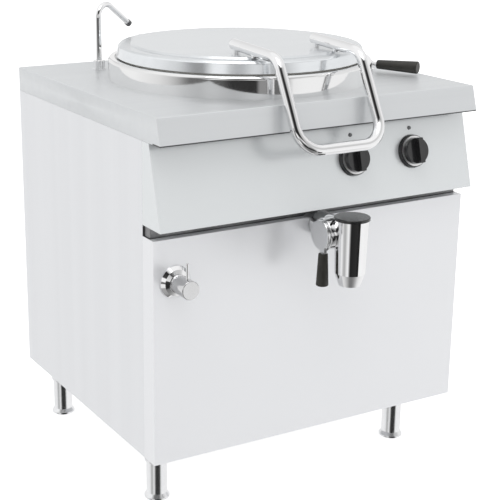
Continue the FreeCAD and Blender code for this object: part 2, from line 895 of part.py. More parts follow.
def make_drain_pipe():
    y1 = kettle_y - pan_r / 2
    y0 = face_y - neck_gap - neck_socket
    pipe = drain_core(drain_bore_r + drain_wall, y0, y1).cut(drain_core(drain_bore_r, y0 - 1, y1 + 1))
    return pipe.cut(pan_body(pan_out_r, pan_floor - pan_wall, pan_corner_r + pan_wall))


def make_strainer():
    y_in = kettle_y - pan_r
    r = drain_bore_r - strainer_clear
    cup = drain_core(r, y_in - strainer_len, y_in)
    cup = cup.cut(drain_core(r - strainer_t, y_in - 2 * strainer_len, y_in - strainer_t))
    for row in strainer_rows:
        count = max(1, int(round(2 * math.pi * row / (3.2 * strainer_hole_r))))
        for i in range(count):
            angle = 2 * math.pi * i / count
            at = V(row * math.cos(angle), y_in - 2 * strainer_t, drain_z + row * math.sin(angle))
            cup = cup.cut(rod(strainer_hole_r, 4 * strainer_t, at, Y_AXIS))
    return cup


def make_drain_tap_body():
    barrel = rod(barrel_r, barrel_left + barrel_right, V(-barrel_left, tap_y, drain_z), X_AXIS)
    barrel = round_edges(barrel, barrel_edge_r, lambda e: isinstance(e.Curve, Part.Circle))
    neck = drain_core(neck_r, tap_y, face_y - neck_gap)
    column = cone(spout_low_r, spout_top_r, spout_top - spout_low, V(0, spout_y, spout_low))
    body = join([barrel, neck, column])
    body = body.cut(rod(spout_bore_r, spout_top, V(0, spout_y, spout_low - 1)))
    body = body.cut(rod(plug_r, barrel_left + barrel_right - plug_end_wall, V(-barrel_left, tap_y, drain_z), X_AXIS))
    body = body.cut(drain_core(plug_bore_r, spout_y, face_y))
    return body.cut(drain_core(drain_bore_r + drain_wall + pipe_fit, face_y - neck_gap - neck_socket, face_y))


def make_drain_outlet():
    low = spout_low - outlet_h
    outer = cone(outlet_r, spout_low_r, outlet_h, V(0, spout_y, low))
    collar = rod(spout_bore_r - pipe_fit, outlet_plug_h, V(0, spout_y, spout_low))
    outlet = join([outer, collar])
    return outlet.cut(rod(outlet_bore_r, 2 * (outlet_h + outlet_plug_h), V(0, spout_y, low - 1)))


def make_drain_cap():
    disc = rod(cap_r, cap_h, V(0, spout_y, spout_top + cap_seat))
    disc = round_edges(disc, cap_edge_r, lambda e: is_circle(e, cap_r, spout_top + cap_seat + cap_h))
    seat = rod(spout_top_r - cap_seat, cap_seat, V(0, spout_y, spout_top))
    stem = rod(spout_bore_r - pipe_fit, cap_plug_h, V(0, spout_y, spout_top - cap_plug_h))
    return join([disc, seat, stem])


def make_drain_plug():
    length = barrel_left + barrel_right - 2 * plug_end_wall
    plug = rod(plug_r - plug_fit, length, V(-barrel_left, tap_y, drain_z), X_AXIS)
    spindle = rod(shaft_r, lever_gap, V(-barrel_left - lever_gap, tap_y, drain_z), X_AXIS)
    port = rod(plug_bore_r, 4 * plug_r, V(0, tap_y, drain_z - 2 * plug_r))
    return join([plug, spindle]).cut(port)


def lever_x():
    return -barrel_left - lever_gap - lever_hub_t / 2


def make_drain_lever():
    x0 = -barrel_left - lever_gap - lever_hub_t
    hub = rod(lever_hub_r, lever_hub_t, V(x0, tap_y, drain_z), X_AXIS)
    hub = round_edges(hub, barrel_edge_r, lambda e: isinstance(e.Curve, Part.Circle) and e.BoundBox.XMax < x0 + 0.1)
    y = tap_y - lever_forward
    arm = block(x0, x0 + lever_hub_t, y - lever_arm_w / 2, y + lever_arm_w / 2, drain_z - lever_reach, drain_z)
    stem = rod(lever_stem_r, lever_stem_len, V(lever_x(), y, drain_z - lever_reach), Z_AXIS * -1)
    wide = rod(lever_stem_r, lever_hub_t / 2, V(lever_x(), y, drain_z - lever_reach + lever_hub_t / 2), Z_AXIS * -1)
    body = join([hub, arm])
    return body.fuse(stem).fuse(wide.common(arm)).removeSplitter()


def make_grip(r0, r1, length, stem_radius, stem_depth):
    # drawn along +Z from the origin, with a blind hole for the lever's stem
    grip = cone(r0, r1, length, V(0, 0, 0))
    grip = round_edges(grip, grip_round, lambda e: isinstance(e.Curve, Part.Circle))
    return grip.cut(rod(stem_radius, stem_depth, V(0, 0, 0)))


def make_drain_grip():
    grip = make_grip(drain_grip_r0, drain_grip_r1, drain_grip_len, lever_stem_r, lever_stem_len)
    grip.rotate(V(0, 0, 0), X_AXIS, 180)
    grip.translate(V(lever_x(), tap_y - lever_forward, drain_z - lever_reach))
    return grip


# Water tap, pipes and swan neck

def make_tap_rosette():
    y = face_y
    profile = [(stem_r + 1.0, 0.0), (rosette_r, 0.0), (rosette_r - 1.0, rosette_h * 0.3),
               (rosette_r * 0.78, rosette_h * 0.75), (head_r, rosette_h), (stem_r + 1.0, rosette_h)]
    dome = turned([(r, h) for r, h in profile])
    dome.rotate(V(0, 0, 0), X_AXIS, 90)
    dome.translate(V(tap_x, y, tap_z))
    return dome


def make_tap_head():
    y0 = face_y - rosette_h - head_gap - head_len
    head = rod(head_r, head_len, V(tap_x, y0, tap_z), Y_AXIS)
    head = round_edges(head, head_edge_r, lambda e: isinstance(e.Curve, Part.Circle))
    stem = rod(stem_r, rosette_h + head_gap + valve_r + stem_deep, V(tap_x, y0 + head_len, tap_z), Y_AXIS)
    body = join([head, stem])
    return body.cut(rod(pin_r, pin_deep, V(tap_x, y0 + pin_from_end, tap_z + head_r - pin_deep)))


def make_tap_pin():
    y = face_y - rosette_h - head_gap - head_len + pin_from_end
    pin = rod(pin_r, pin_deep + pin_len, V(tap_x, y, tap_z + head_r - pin_deep))
    return round_edges(pin, pin_r * 0.6, lambda e: is_circle(e, pin_r, tap_z + head_r + pin_len))


def make_water_valve():
    y0 = face_y + sheet
    body = rod(stem_r + 2.0, valve_len, V(tap_x, y0, tap_z), Y_AXIS)
    block_y = face_y + riser_back
    cube = block(tap_x - valve_r, tap_x + valve_r, y0 + valve_r, y0 + valve_len, tap_z - valve_r, tap_z + valve_r)
    top = rod(pipe_r + 2.0, riser_up, V(tap_x, block_y, tap_z))
    valve = join([body, cube, top])
    valve = valve.cut(rod(stem_r + stem_fit, valve_r + stem_deep, V(tap_x, face_y, tap_z), Y_AXIS))
    return valve.cut(rod(pipe_r, 2 * riser_up, V(tap_x, block_y, tap_z + valve_r)))


def make_supply_pipe():
    low = base_z + sheet + inlet_hex_h
    points = [V(tap_x, inlet_y, low), V(tap_x, inlet_y, tap_z), V(tap_x, face_y + sheet + valve_len, tap_z)]
    return tube(points, [pipe_bend_r], pipe_r, pipe_r - 1.0)


def make_spout_pipe():
    y0 = face_y + riser_back
    run_z = blanket_top + pipe_bend_r * 0.75
    nut_low = top_z - shank_len
    points = [V(tap_x, y0, tap_z + valve_r), V(tap_x, y0, run_z), V(tap_x, column_y, run_z),
              V(column_x, column_y, run_z), V(column_x, column_y, nut_low + shank_len / 2)]
    radii = [pipe_bend_r, pipe_bend_r, pipe_bend_r * 0.9]
    return tube(points, radii, pipe_r, pipe_r - 1.0)


def make_water_inlet():
    low = base_z - inlet_flange_h - inlet_len
    thread = rod(inlet_r, inlet_flange_h + inlet_len + 2 * sheet, V(tap_x, inlet_y, low))
    flange = rod(inlet_flange_r, inlet_flange_h, V(tap_x, inlet_y, base_z - inlet_flange_h))
    hexagon = rod(inlet_hex_r, inlet_hex_h, V(tap_x, inlet_y, base_z + sheet))
    return join([thread, flange, hexagon]).cut(rod(pipe_r, 4 * inlet_len, V(tap_x, inlet_y, base_z - 2 * inlet_len)))


def make_spout_nut():
    low = top_z - shank_len
    shank = rod(shank_r, shank_len, V(column_x, column_y, low))
    flange = rod(nut_flange_r, nut_flange_h, V(column_x, column_y, top_z))
    nut = rod(nut_r, nut_h, V(column_x, column_y, top_z + nut_flange_h))
    nut = round_edges(nut, 1.5, lambda e: is_circle(e, nut_r, top_z + nut_flange_h + nut_h))
    body = join([shank, flange, nut])
    body = body.cut(rod(pipe_r, shank_len, V(column_x, column_y, low - 1)))
    return body.cut(rod(column_r + column_fit, 3 * nut_h, V(column_x, column_y, top_z - column_deep)))


def column_path(start_up, extra=0.0):
    # the neck rises, turns over through a half circle and a little more, and runs down to its tip
    slope = math.radians(column_slope)
    turn = math.pi / 2 + slope
    run = column_arc_r * math.tan(turn / 2)
    corner_z = top_z + column_arc_up + run
    plan = math.radians(column_turn)
    ahead = V(math.cos(plan), math.sin(plan), 0)
    down = ahead * math.cos(slope) + V(0, 0, -math.sin(slope))
    foot = V(column_x, column_y, top_z + start_up)
    corner = V(column_x, column_y, corner_z)
    return foot, corner, corner + down * (run + column_arm + extra), down


def make_spout_tube():
    foot, corner, tip, _ = column_path(-column_deep)
    return tube([foot, corner, tip], [column_arc_r], column_r, column_r - column_wall)


def make_spout_nozzle():
    _, _, tip, down = column_path(-column_deep)
    sleeve = rod(nozzle_r, nozzle_len, tip - down * nozzle_lap, down)
    sleeve = sleeve.cut(rod(column_r, nozzle_lap, tip - down * nozzle_lap, down))
    return sleeve.cut(rod(nozzle_bore_r, 3 * nozzle_len, tip - down * nozzle_len, down))


# Jacket vent valve

def make_vent_valve():
    under = top_z - top_sheet
    body = rod(vent_body_r, vent_body_h, V(vent_x, vent_y, under - vent_body_h))
    neck = rod(vent_neck_r, top_sheet, V(vent_x, vent_y, under))
    nut = rod(vent_nut_r, vent_nut_h, V(vent_x, vent_y, top_z))
    reach = collar_r + vent_gap
    inward = V(-vent_x, kettle_y - vent_y, 0) * (1 / reach)
    stub_z = top_z - vent_stub_drop + vent_stub_r
    stub = rod(vent_stub_r, reach - jacket_r + vent_stub_r, V(vent_x, vent_y, stub_z), inward)
    stub = stub.cut(rod(jacket_r, 10 * vent_stub_r, V(0, kettle_y, stub_z - 5 * vent_stub_r)))
    valve = join([body, neck, nut, stub])
    deep = vent_spindle_deep + vent_nut_h
    return valve.cut(rod(vent_bore_r + shaft_fit, 2 * deep, V(vent_x, vent_y, top_z - vent_spindle_deep)))


def vent_grip_line():
    start = V(vent_x + vent_grip_dx0, vent_y + vent_grip_dy0, vent_grip_z)
    end = V(vent_x + vent_grip_dx1, vent_y + vent_grip_dy1, vent_grip_z)
    return start, end


def make_vent_lever():
    start, end = vent_grip_line()
    along = (end - start).normalize()
    spindle_low = top_z - vent_spindle_deep
    spindle = rod(vent_bore_r, vent_grip_z - spindle_low, V(vent_x, vent_y, spindle_low))
    eye_low = top_z + vent_nut_h + lever_gap
    eye = rod(vent_neck_r, vent_grip_z + vent_spindle_top - eye_low, V(vent_x, vent_y, eye_low))
    eye = round_edges(eye, 1.5, lambda e: is_circle(e, vent_neck_r, vent_grip_z + vent_spindle_top))
    centre = V(vent_x, vent_y, vent_grip_z)
    link = rod(vent_rod_r, (start - centre).Length, centre, (start - centre).normalize())
    knuckle = Part.makeSphere(vent_knuckle_r, start)
    stem = rod(vent_rod_r, vent_rod_deep, start, along)
    return join([spindle, eye, link, knuckle, stem])


def make_vent_grip():
    start, end = vent_grip_line()
    along = (end - start).normalize()
    grip = make_grip(vent_grip_r0, vent_grip_r1, (end - start).Length, vent_rod_r, vent_rod_deep)
    grip = grip.cut(Part.makeSphere(vent_knuckle_r, V(0, 0, 0)))
    turn = FreeCAD.Rotation(Z_AXIS, along)
    grip.Placement = FreeCAD.Placement(start, turn)
    return grip


# Knobs, switches and lamps, drawn about the panel's outward normal

def make_knob():
    skirt = cone(knob_skirt_r, knob_skirt_r1, knob_skirt_h, V(0, 0, knob_gap))
    top = knob_gap + knob_h
    grip = cone(knob_r, knob_r - knob_taper, knob_h - knob_skirt_h, V(0, 0, knob_gap + knob_skirt_h))
    grip = round_edges(grip, 2.0, lambda e: is_circle(e, knob_r - knob_taper, top))
    for side in (-1, 1):
        x0 = sorted((side * knob_bar_w / 2, side * 2 * knob_r))
        grip = grip.cut(block(x0[0], x0[1], -2 * knob_r, 2 * knob_r, top - knob_bar_cut, top + 1))
    knob = join([skirt, grip])
    return knob.cut(rod(knob_shaft_r, knob_shaft_up, V(0, 0, 0)))


def make_knob_ring():
    z = knob_gap + knob_skirt_h
    return ring(knob_ring_r, knob_r + knob_shaft_fit, z, z + knob_ring_h)


def make_knob_shaft():
    return rod(knob_shaft_r, knob_shaft_up + knob_shaft_deep, V(0, 0, -knob_shaft_deep))


def make_control_box():
    half = control_box_w / 2
    body = block(-half, half, -half, half, -sheet - control_box_t, -sheet)
    return body.cut(rod(knob_shaft_r + knob_shaft_fit, 2 * knob_shaft_deep, V(0, 0, -knob_shaft_deep - 1)))


def make_lamp():
    dome = cone(lamp_r, lamp_r * 0.8, lamp_up, V(0, 0, 0))
    neck = rod(lamp_neck_r, lamp_neck_len, V(0, 0, 0), Z_AXIS * -1)
    return join([dome, neck])


# Electrical box, gland and legs

def make_terminal_box():
    z0 = base_z + sheet
    outer = block(box_x - box_w / 2, box_x + box_w / 2, box_y - box_l / 2, box_y + box_l / 2, z0, z0 + box_h)
    inner = block(box_x - box_w / 2 + box_wall, box_x + box_w / 2 - box_wall, box_y - box_l / 2 + box_wall,
                  box_y + box_l / 2 - box_wall, z0 + box_wall, z0 + box_h - box_wall)
    return outer.cut(inner).cut(rod(gland_neck_r + gland_neck_fit, 4 * box_wall, V(box_x, box_y, z0 - box_wall)))


def make_cable_gland():
    nut = rod(gland_nut_r, gland_nut_h, V(box_x, box_y, base_z - gland_nut_h))
    nut = round_edges(nut, 3.0, lambda e: is_circle(e, gland_nut_r, base_z - gland_nut_h))
    neck = rod(gland_neck_r, sheet + 3 * box_wall, V(box_x, box_y, base_z))
    return join([nut, neck]).cut(rod(gland_bore_r, 4 * gland_nut_h, V(box_x, box_y, base_z - 2 * gland_nut_h)))


def make_leg_sleeves():
    sleeves = []
    for x, y in leg_places().values():
        body = rod(sleeve_r, base_z - sleeve_low, V(x, y, sleeve_low))
        flange = rod(sleeve_flange_r, sleeve_flange_h, V(x, y, base_z - sleeve_flange_h))
        collar = rod(sleeve_collar_r, sleeve_collar_h, V(x, y, sleeve_low))
        collar = round_edges(collar, 1.0, lambda e: isinstance(e.Curve, Part.Circle))
        stud = rod(stud_r, stud_len, V(x, y, base_z))
        bore = rod(sleeve_bore_r, base_z - sleeve_roof - sleeve_low, V(x, y, sleeve_low))
        sleeves.append(join([body, flange, collar, stud]).cut(bore))
    return Part.makeCompound(sleeves)


def make_foot(x, y):
    top = sleeve_low - foot_gap
    pad = rod(foot_pad_r, foot_pad_h, V(x, y, 0))
    flange = rod(foot_flange_r, foot_flange_h - foot_pad_h + 2.0, V(x, y, foot_pad_h - 2.0))
    flange = round_edges(flange, 1.5, lambda e: is_circle(e, foot_flange_r, foot_pad_h - 2.0))
    flare = cone(foot_flange_r, foot_r, foot_flare_h, V(x, y, foot_flange_h))
    body = rod(foot_r, top - foot_flange_h, V(x, y, foot_flange_h))
    stem_top = base_z - sleeve_roof - foot_gap
    stem = rod(sleeve_bore_r - foot_fit, stem_top - top, V(x, y, top))
    foot = join([pad, flange, flare, body, stem])
    hollow_low = foot_flange_h + foot_flare_h
    return foot.cut(rod(foot_bore_r, stem_top, V(x, y, hollow_low)))


def build():
    os.makedirs("parts", exist_ok=True)
    save("worktop", make_worktop())
    save("left_side_panel", make_side_panel(-1))
    save("right_side_panel", make_side_panel(1))
    save("back_panel", make_back_panel())
    save("front_panel", make_front_panel())
    save("control_panel", make_control_panel())
    save("bottom_tray", make_bottom_tray())
    save("main_frame", make_main_frame())
    save("inner_pan", make_inner_pan())
    save("jacket_shell", make_jacket_shell())
    save("insulation", make_insulation())
    save("pan_collar", make_pan_collar())
    save("heating_elements", make_heating_elements())
    save("lid_shell", make_lid_shell())
    save("lid_inner_plate", make_lid_inner_plate())
    save("lid_gasket", make_lid_gasket())
    save("lid_handle", make_lid_handle())
    save("hinge_arms", make_hinge_arms())
    save("hinge_shaft", make_hinge_shaft())
    save("hinge_brackets", make_hinge_brackets())
    save("spring_housing", make_spring_housing())
    save("hinge_spring", make_hinge_spring())
    save("screws", make_screws())
    save("drain_pipe", make_drain_pipe())
    save("strainer", make_strainer())
    save("drain_tap_body", make_drain_tap_body())
    save("drain_outlet", make_drain_outlet())
    save("drain_cap", make_drain_cap())
    save("drain_plug", make_drain_plug())
    save("drain_lever", make_drain_lever())
    save("drain_grip", make_drain_grip())
    save("tap_rosette", make_tap_rosette())
    save("tap_head", make_tap_head())
    save("tap_pin", make_tap_pin())
    save("water_valve", make_water_valve())
    save("supply_pipe", make_supply_pipe())
    save("spout_pipe", make_spout_pipe())
    save("water_inlet", make_water_inlet())
    save("spout_nut", make_spout_nut())
    save("spout_tube", make_spout_tube())
    save("spout_nozzle", make_spout_nozzle())
    save("vent_valve", make_vent_valve())
    save("vent_lever", make_vent_lever())
    save("vent_grip", make_vent_grip())
    for word, x in (("thermostat", thermostat_x), ("switch", switch_x)):
        save(word + "_knob", on_panel(make_knob(), x, knob_z))
        save(word + "_ring", on_panel(make_knob_ring(), x, knob_z))
        save(word + "_shaft", on_panel(make_knob_shaft(), x, knob_z))
        save(word + "_body", on_panel(make_control_box(), x, knob_z))
    lamps = [on_panel(make_lamp(), x, lamp_z) for x in (thermostat_x, switch_x)]
    save("pilot_lamps", Part.makeCompound(lamps))
    save("terminal_box", make_terminal_box())
    save("cable_gland", make_cable_gland())
    save("leg_sleeves", make_leg_sleeves())
    for word, place in leg_places().items():
        save("foot_" + word, make_foot(place[0], place[1]))


build()
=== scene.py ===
import json
import math

import bmesh
import bpy
from mathutils import Matrix, Vector

# Looks of the jacketed boiling kettle. Metres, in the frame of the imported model.

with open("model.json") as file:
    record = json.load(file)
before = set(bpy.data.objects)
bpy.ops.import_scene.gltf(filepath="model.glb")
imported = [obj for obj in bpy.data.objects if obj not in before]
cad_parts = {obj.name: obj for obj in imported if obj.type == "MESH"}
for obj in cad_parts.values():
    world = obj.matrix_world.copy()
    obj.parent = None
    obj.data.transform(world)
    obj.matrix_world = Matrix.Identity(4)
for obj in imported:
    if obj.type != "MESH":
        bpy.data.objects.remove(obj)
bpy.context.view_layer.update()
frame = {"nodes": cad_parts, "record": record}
nodes = frame["nodes"]

# The camera stands in front and to the left, looking slightly down.
CAMERA_PLACE = Vector((-1.514, -2.4241, 1.381))
CAMERA_YAW = math.radians(29.56)
CAMERA_PITCH = math.radians(16.79)
CAMERA_ROLL = math.radians(0.26)
CAMERA_LENS = 90.86
CAMERA_SENSOR = 36.0
CAMERA_SHIFT = (0.1, -0.02)
CAMERA_FAR_END = 100.0

# Plan directions that the studio's light and dark bands are laid out from.
STUDIO_FRONT = (-0.4934, -0.8698, 0.0)
STUDIO_RIGHT = (0.8698, -0.4934, 0.0)

# The lid's standing rim ends at this height and is more polished than the plate on top; its colour is also
# painted paler there, a painted sheen.
RIM_TOP = 0.9735
RIM_EDGE = 0.001
RIM_ROUGHNESS_SHARE = 0.5
RIM_SHEEN_SHARE = 1.17

# Painted shade: the worktop's bead is painted dark under this height, in front of this plane, as the shadow
# on its underside.
BEAD_HEIGHT = 0.8465
BEAD_HEIGHT_EDGE = 0.0004
BEAD_BEHIND = -0.27
BEAD_BEHIND_EDGE = 0.001
BEAD_SHADE_SHARE = 0.10

FLOOR_SIZE = 30.0
FLOOR_COLOUR = 0.9
FLOOR_LIFT = 0.62
PLAIN_LIGHT = 0.85

# A lamp: place, point that it faces, width and power.
KEY_LAMP = ((-1.0, -1.2, 4.2), (0, 0, 0.7), 2.2, 30)

# A black panel in front of the drain tap: its line in plan, and its lower and upper edge.
TAP_CARD = ([(0.022, -0.719), (0.113, -0.685)], 0.44, 0.63)


def node(tree, kind, x=0, y=0, **values):
    n = tree.nodes.new(kind)
    n.location = (x, y)
    for key, value in values.items():
        setattr(n, key, value)
    return n


def ramp_stops(ramp, stops):
    elements = ramp.color_ramp.elements
    while len(elements) > 1:
        elements.remove(elements[-1])
    elements[0].position = stops[0][0]
    elements[0].color = (*stops[0][1], 1)
    for place, colour in stops[1:]:
        elements.new(place).color = (*colour, 1)


def grey(v):
    return (v, v, v)


def map_range(tree, value, span, result=(0.0, 1.0), x=0, y=0):
    """A number that goes from one end of the result to the other while the value crosses the span."""
    mapped = node(tree, "ShaderNodeMapRange", x, y)
    mapped.inputs["From Min"].default_value = span[0]
    mapped.inputs["From Max"].default_value = span[1]
    mapped.inputs["To Min"].default_value = result[0]
    mapped.inputs["To Max"].default_value = result[1]
    tree.links.new(value, mapped.inputs["Value"])
    return mapped.outputs["Result"]


def new_tree(name):
    """A material with nothing in it but its output."""
    mat = bpy.data.materials.new(name)
    mat.use_nodes = True
    mat.node_tree.nodes.clear()
    return mat, mat.node_tree, node(mat.node_tree, "ShaderNodeOutputMaterial", 900)


def new_object(name, data):
    obj = bpy.data.objects.new(name, data)
    bpy.context.scene.collection.objects.link(obj)
    return obj


# Materials

def surface(name, metallic, roughness, colour_a, colour_b, cloud, grain=(1, 1, 1), grain_scale=200.0,
            rough_spread=0.03, bump=0.03, bump_depth=0.0004, coat=0.0, coat_roughness=0.1,
            stretched=0.0, streaked=False):
    """A finish whose tone drifts softly and whose grain is stretched along one way of the object."""
    mat, tree, out = new_tree(name)
    link = tree.links.new
    shader = node(tree, "ShaderNodeBsdfPrincipled", 600)
    place = node(tree, "ShaderNodeTexCoord", -900)
    stretch = node(tree, "ShaderNodeMapping", -700, -200)
    stretch.inputs["Scale"].default_value = grain
    clouds = node(tree, "ShaderNodeTexNoise", -500, 200)
    clouds.inputs["Scale"].default_value = cloud
    clouds.inputs["Detail"].default_value = 3.0
    tone = node(tree, "ShaderNodeValToRGB", -200, 250)
    ramp_stops(tone, [(0.3, colour_a), (0.7, colour_b)])
    strands = node(tree, "ShaderNodeTexNoise", -500, -200)
    strands.inputs["Scale"].default_value = grain_scale
    strands.inputs["Detail"].default_value = 2.0
    relief = node(tree, "ShaderNodeBump", 200, -300)
    relief.inputs["Strength"].default_value = bump
    relief.inputs["Distance"].default_value = bump_depth
    link(place.outputs["Object"], stretch.inputs["Vector"])
    link(stretch.outputs["Vector"] if streaked else place.outputs["Object"], clouds.inputs["Vector"])
    link(stretch.outputs["Vector"], strands.inputs["Vector"])
    link(clouds.outputs["Fac"], tone.inputs["Fac"])
    link(tone.outputs["Color"], shader.inputs["Base Color"])
    rough = (max(0.01, roughness - rough_spread), roughness + rough_spread)
    link(map_range(tree, strands.outputs["Fac"], (0.25, 0.75), rough, -200, -50), shader.inputs["Roughness"])
    link(strands.outputs["Fac"], relief.inputs["Height"])
    link(relief.outputs["Normal"], shader.inputs["Normal"])
    link(shader.outputs["BSDF"], out.inputs["Surface"])
    shader.inputs["Metallic"].default_value = metallic
    shader.inputs["Coat Weight"].default_value = coat
    shader.inputs["Coat Roughness"].default_value = coat_roughness
    shader.inputs["Anisotropic"].default_value = stretched
    if stretched:
        across = node(tree, "ShaderNodeTangent", 200, -500, direction_type="RADIAL", axis="X")
        link(across.outputs["Tangent"], shader.inputs["Tangent"])
    return mat


def place_in_object(tree):
    """The point's place in the object's own frame, as separate numbers."""
    place = node(tree, "ShaderNodeTexCoord", -900, -700)
    parts = node(tree, "ShaderNodeSeparateXYZ", -700, -700)
    tree.links.new(place.outputs["Object"], parts.inputs["Vector"])
    return parts.outputs


def scale_colour(tree, factor):
    """Multiplies a finish's colour by a number that changes over the surface."""
    shader = tree.nodes["Principled BSDF"]
    scaled = node(tree, "ShaderNodeVectorMath", 300, 400, operation="SCALE")
    tree.links.new(shader.inputs["Base Color"].links[0].from_socket, scaled.inputs[0])
    tree.links.new(factor, scaled.inputs["Scale"])
    tree.links.new(scaled.outputs["Vector"], shader.inputs["Base Color"])


def around(middle, half):
    return (middle - half, middle + half)


def lid_finish():
    """Satin plate on top, more polished on the standing rim, whose colour is painted paler as a painted
    sheen.
    """
    mat = surface("lid_steel", 0.75, 0.25, (0.700, 0.720, 0.738), (0.740, 0.760, 0.778),
                  cloud=40.0, grain=ALONG_X, grain_scale=2200, rough_spread=0.015, bump=0.006, streaked=True)
    tree = mat.node_tree
    roughness = tree.nodes["Principled BSDF"].inputs["Roughness"]
    height = place_in_object(tree)["Z"]
    edge = around(RIM_TOP, RIM_EDGE)
    shine = node(tree, "ShaderNodeMath", 200, 0, operation="MULTIPLY")
    tree.links.new(roughness.links[0].from_socket, shine.inputs[0])
    tree.links.new(map_range(tree, height, edge, (RIM_ROUGHNESS_SHARE, 1.0), -500, -500), shine.inputs[1])
    tree.links.new(shine.outputs["Value"], roughness)
    # Painted sheen: the same steel is given a paler colour on the rim below RIM_TOP.
    scale_colour(tree, map_range(tree, height, edge, (RIM_SHEEN_SHARE, 1.0), -500, -800))
    return mat


def paint_bead_shade(mat):
    """Painted shade on the front bead's lower side: the colour is darkened where the bead's underside lies in
    shadow.
    """
    tree = mat.node_tree
    place = place_in_object(tree)
    result = (BEAD_SHADE_SHARE, 1.0)
    above = map_range(tree, place["Z"], around(BEAD_HEIGHT, BEAD_HEIGHT_EDGE), result, -500, -700)
    behind = map_range(tree, place["Y"], (BEAD_BEHIND, BEAD_BEHIND + BEAD_BEHIND_EDGE), result, -500, -1000)
    lighter = node(tree, "ShaderNodeMath", -200, -800, operation="MAXIMUM")
    tree.links.new(above, lighter.inputs[0])
    tree.links.new(behind, lighter.inputs[1])
    scale_colour(tree, lighter.outputs["Value"])


ALONG_Z = (1.0, 1.0, 0.02)
ALONG_X = (0.02, 1.0, 1.0)

finishes = {
    "cabinet_steel": surface("cabinet_steel", 0.35, 0.30, (0.800, 0.810, 0.830), (0.835, 0.845, 0.865),
                             cloud=14.0, grain=ALONG_Z, grain_scale=2600, rough_spread=0.02, bump=0.012,
                             streaked=True),
    "front_steel": surface("front_steel", 0.35, 0.30, (0.865, 0.873, 0.893), (0.885, 0.893, 0.913),
                           cloud=2.0, grain=ALONG_Z, grain_scale=2600, rough_spread=0.02, bump=0.012),
    "control_steel": surface("control_steel", 0.55, 0.25, (0.775, 0.798, 0.810), (0.805, 0.828, 0.840),
                             cloud=2.0, grain=ALONG_X, grain_scale=2600, rough_spread=0.015, bump=0.008),
    "worktop_steel": surface("worktop_steel", 0.55, 0.38, (0.720, 0.737, 0.750), (0.745, 0.762, 0.775),
                             cloud=45.0, grain=ALONG_X, grain_scale=2600, rough_spread=0.015, bump=0.008,
                             stretched=0.7, streaked=True),
    "collar_steel": surface("collar_steel", 1.0, 0.07, (0.83, 0.83, 0.83), (0.86, 0.86, 0.86),
                            cloud=6.0, grain=ALONG_Z, grain_scale=1500, rough_spread=0.015, bump=0.004),
    "bright_metal": surface("bright_metal", 1.0, 0.045, (0.87, 0.87, 0.875), (0.91, 0.91, 0.915),
                            cloud=12.0, grain_scale=90, rough_spread=0.015, bump=0.003),
    "leg_steel": surface("leg_steel", 1.0, 0.20, (0.82, 0.825, 0.835), (0.87, 0.875, 0.885),
                         cloud=18.0, grain_scale=500, rough_spread=0.03, bump=0.006),
    "tap_steel": surface("tap_steel", 1.0, 0.11, (0.66, 0.66, 0.665), (0.72, 0.72, 0.725),
                         cloud=14.0, grain_scale=300, rough_spread=0.02, bump=0.004),
    "inner_steel": surface("inner_steel", 1.0, 0.34, (0.60, 0.605, 0.61), (0.68, 0.685, 0.69),
                           cloud=5.0, grain=ALONG_X, grain_scale=1500, rough_spread=0.05, bump=0.03),
    # The nozzle's near-black colour is a painted dark reflection: it stands in for the dark surroundings that
    # the polished arm mirrors.
    "nozzle_painted_reflection": surface("nozzle_painted_reflection", 1.0, 0.10, (0.10, 0.10, 0.105), (0.16, 0.16, 0.165),
                             cloud=30.0, grain_scale=300, rough_spread=0.02, bump=0.004),
    "ring_satin": surface("ring_satin", 1.0, 0.34, (0.84, 0.84, 0.845), (0.90, 0.90, 0.905),
                          cloud=40.0, grain_scale=700, rough_spread=0.03, bump=0.01),
    # The frame's dark colour is painted shade: it stands in for the shade in the gap under the control panel.
    "frame_shade_steel": surface("frame_shade_steel", 1.0, 0.42, (0.24, 0.24, 0.245), (0.34, 0.34, 0.345),
                           cloud=9.0, grain=ALONG_X, grain_scale=700, rough_spread=0.08, bump=0.05),
    "knob_black": surface("knob_black", 0.0, 0.20, (0.010, 0.010, 0.011), (0.017, 0.017, 0.018),
                          cloud=40.0, grain_scale=900, rough_spread=0.04, bump=0.02, coat=0.4,
                          coat_roughness=0.08),
    "grip_black": surface("grip_black", 0.0, 0.42, (0.020, 0.019, 0.015), (0.032, 0.030, 0.024),
                          cloud=60.0, grain_scale=1400, rough_spread=0.06, bump=0.12),
    "element_sheath": surface("element_sheath", 1.0, 0.45, (0.26, 0.25, 0.24), (0.36, 0.34, 0.33),
                              cloud=20.0, grain_scale=300, rough_spread=0.08, bump=0.1),
    "seal_rubber": surface("seal_rubber", 0.0, 0.55, (0.66, 0.65, 0.61), (0.74, 0.73, 0.69),
                           cloud=30.0, grain_scale=500, rough_spread=0.06, bump=0.08),
    "blanket": surface("blanket", 0.0, 0.95, (0.62, 0.58, 0.44), (0.78, 0.74, 0.60),
                       cloud=14.0, grain_scale=220, rough_spread=0.04, bump=0.9, bump_depth=0.002),
    "valve_brass": surface("valve_brass", 1.0, 0.30, (0.62, 0.46, 0.20), (0.72, 0.56, 0.28),
                           cloud=30.0, grain_scale=400, rough_spread=0.06, bump=0.06),
    "control_body": surface("control_body", 0.0, 0.48, (0.05, 0.05, 0.055), (0.08, 0.08, 0.085),
                            cloud=30.0, grain_scale=900, rough_spread=0.05, bump=0.08),
    "lamp_left": surface("lamp_left", 0.0, 0.16, (0.10, 0.105, 0.11), (0.16, 0.165, 0.17),
                         cloud=60.0, grain_scale=600, rough_spread=0.03, bump=0.02, coat=0.6),
}
finishes["lid_steel"] = lid_finish()
# Paints shade into the colour of the lower side of the worktop's front bead.
paint_bead_shade(finishes["worktop_steel"])

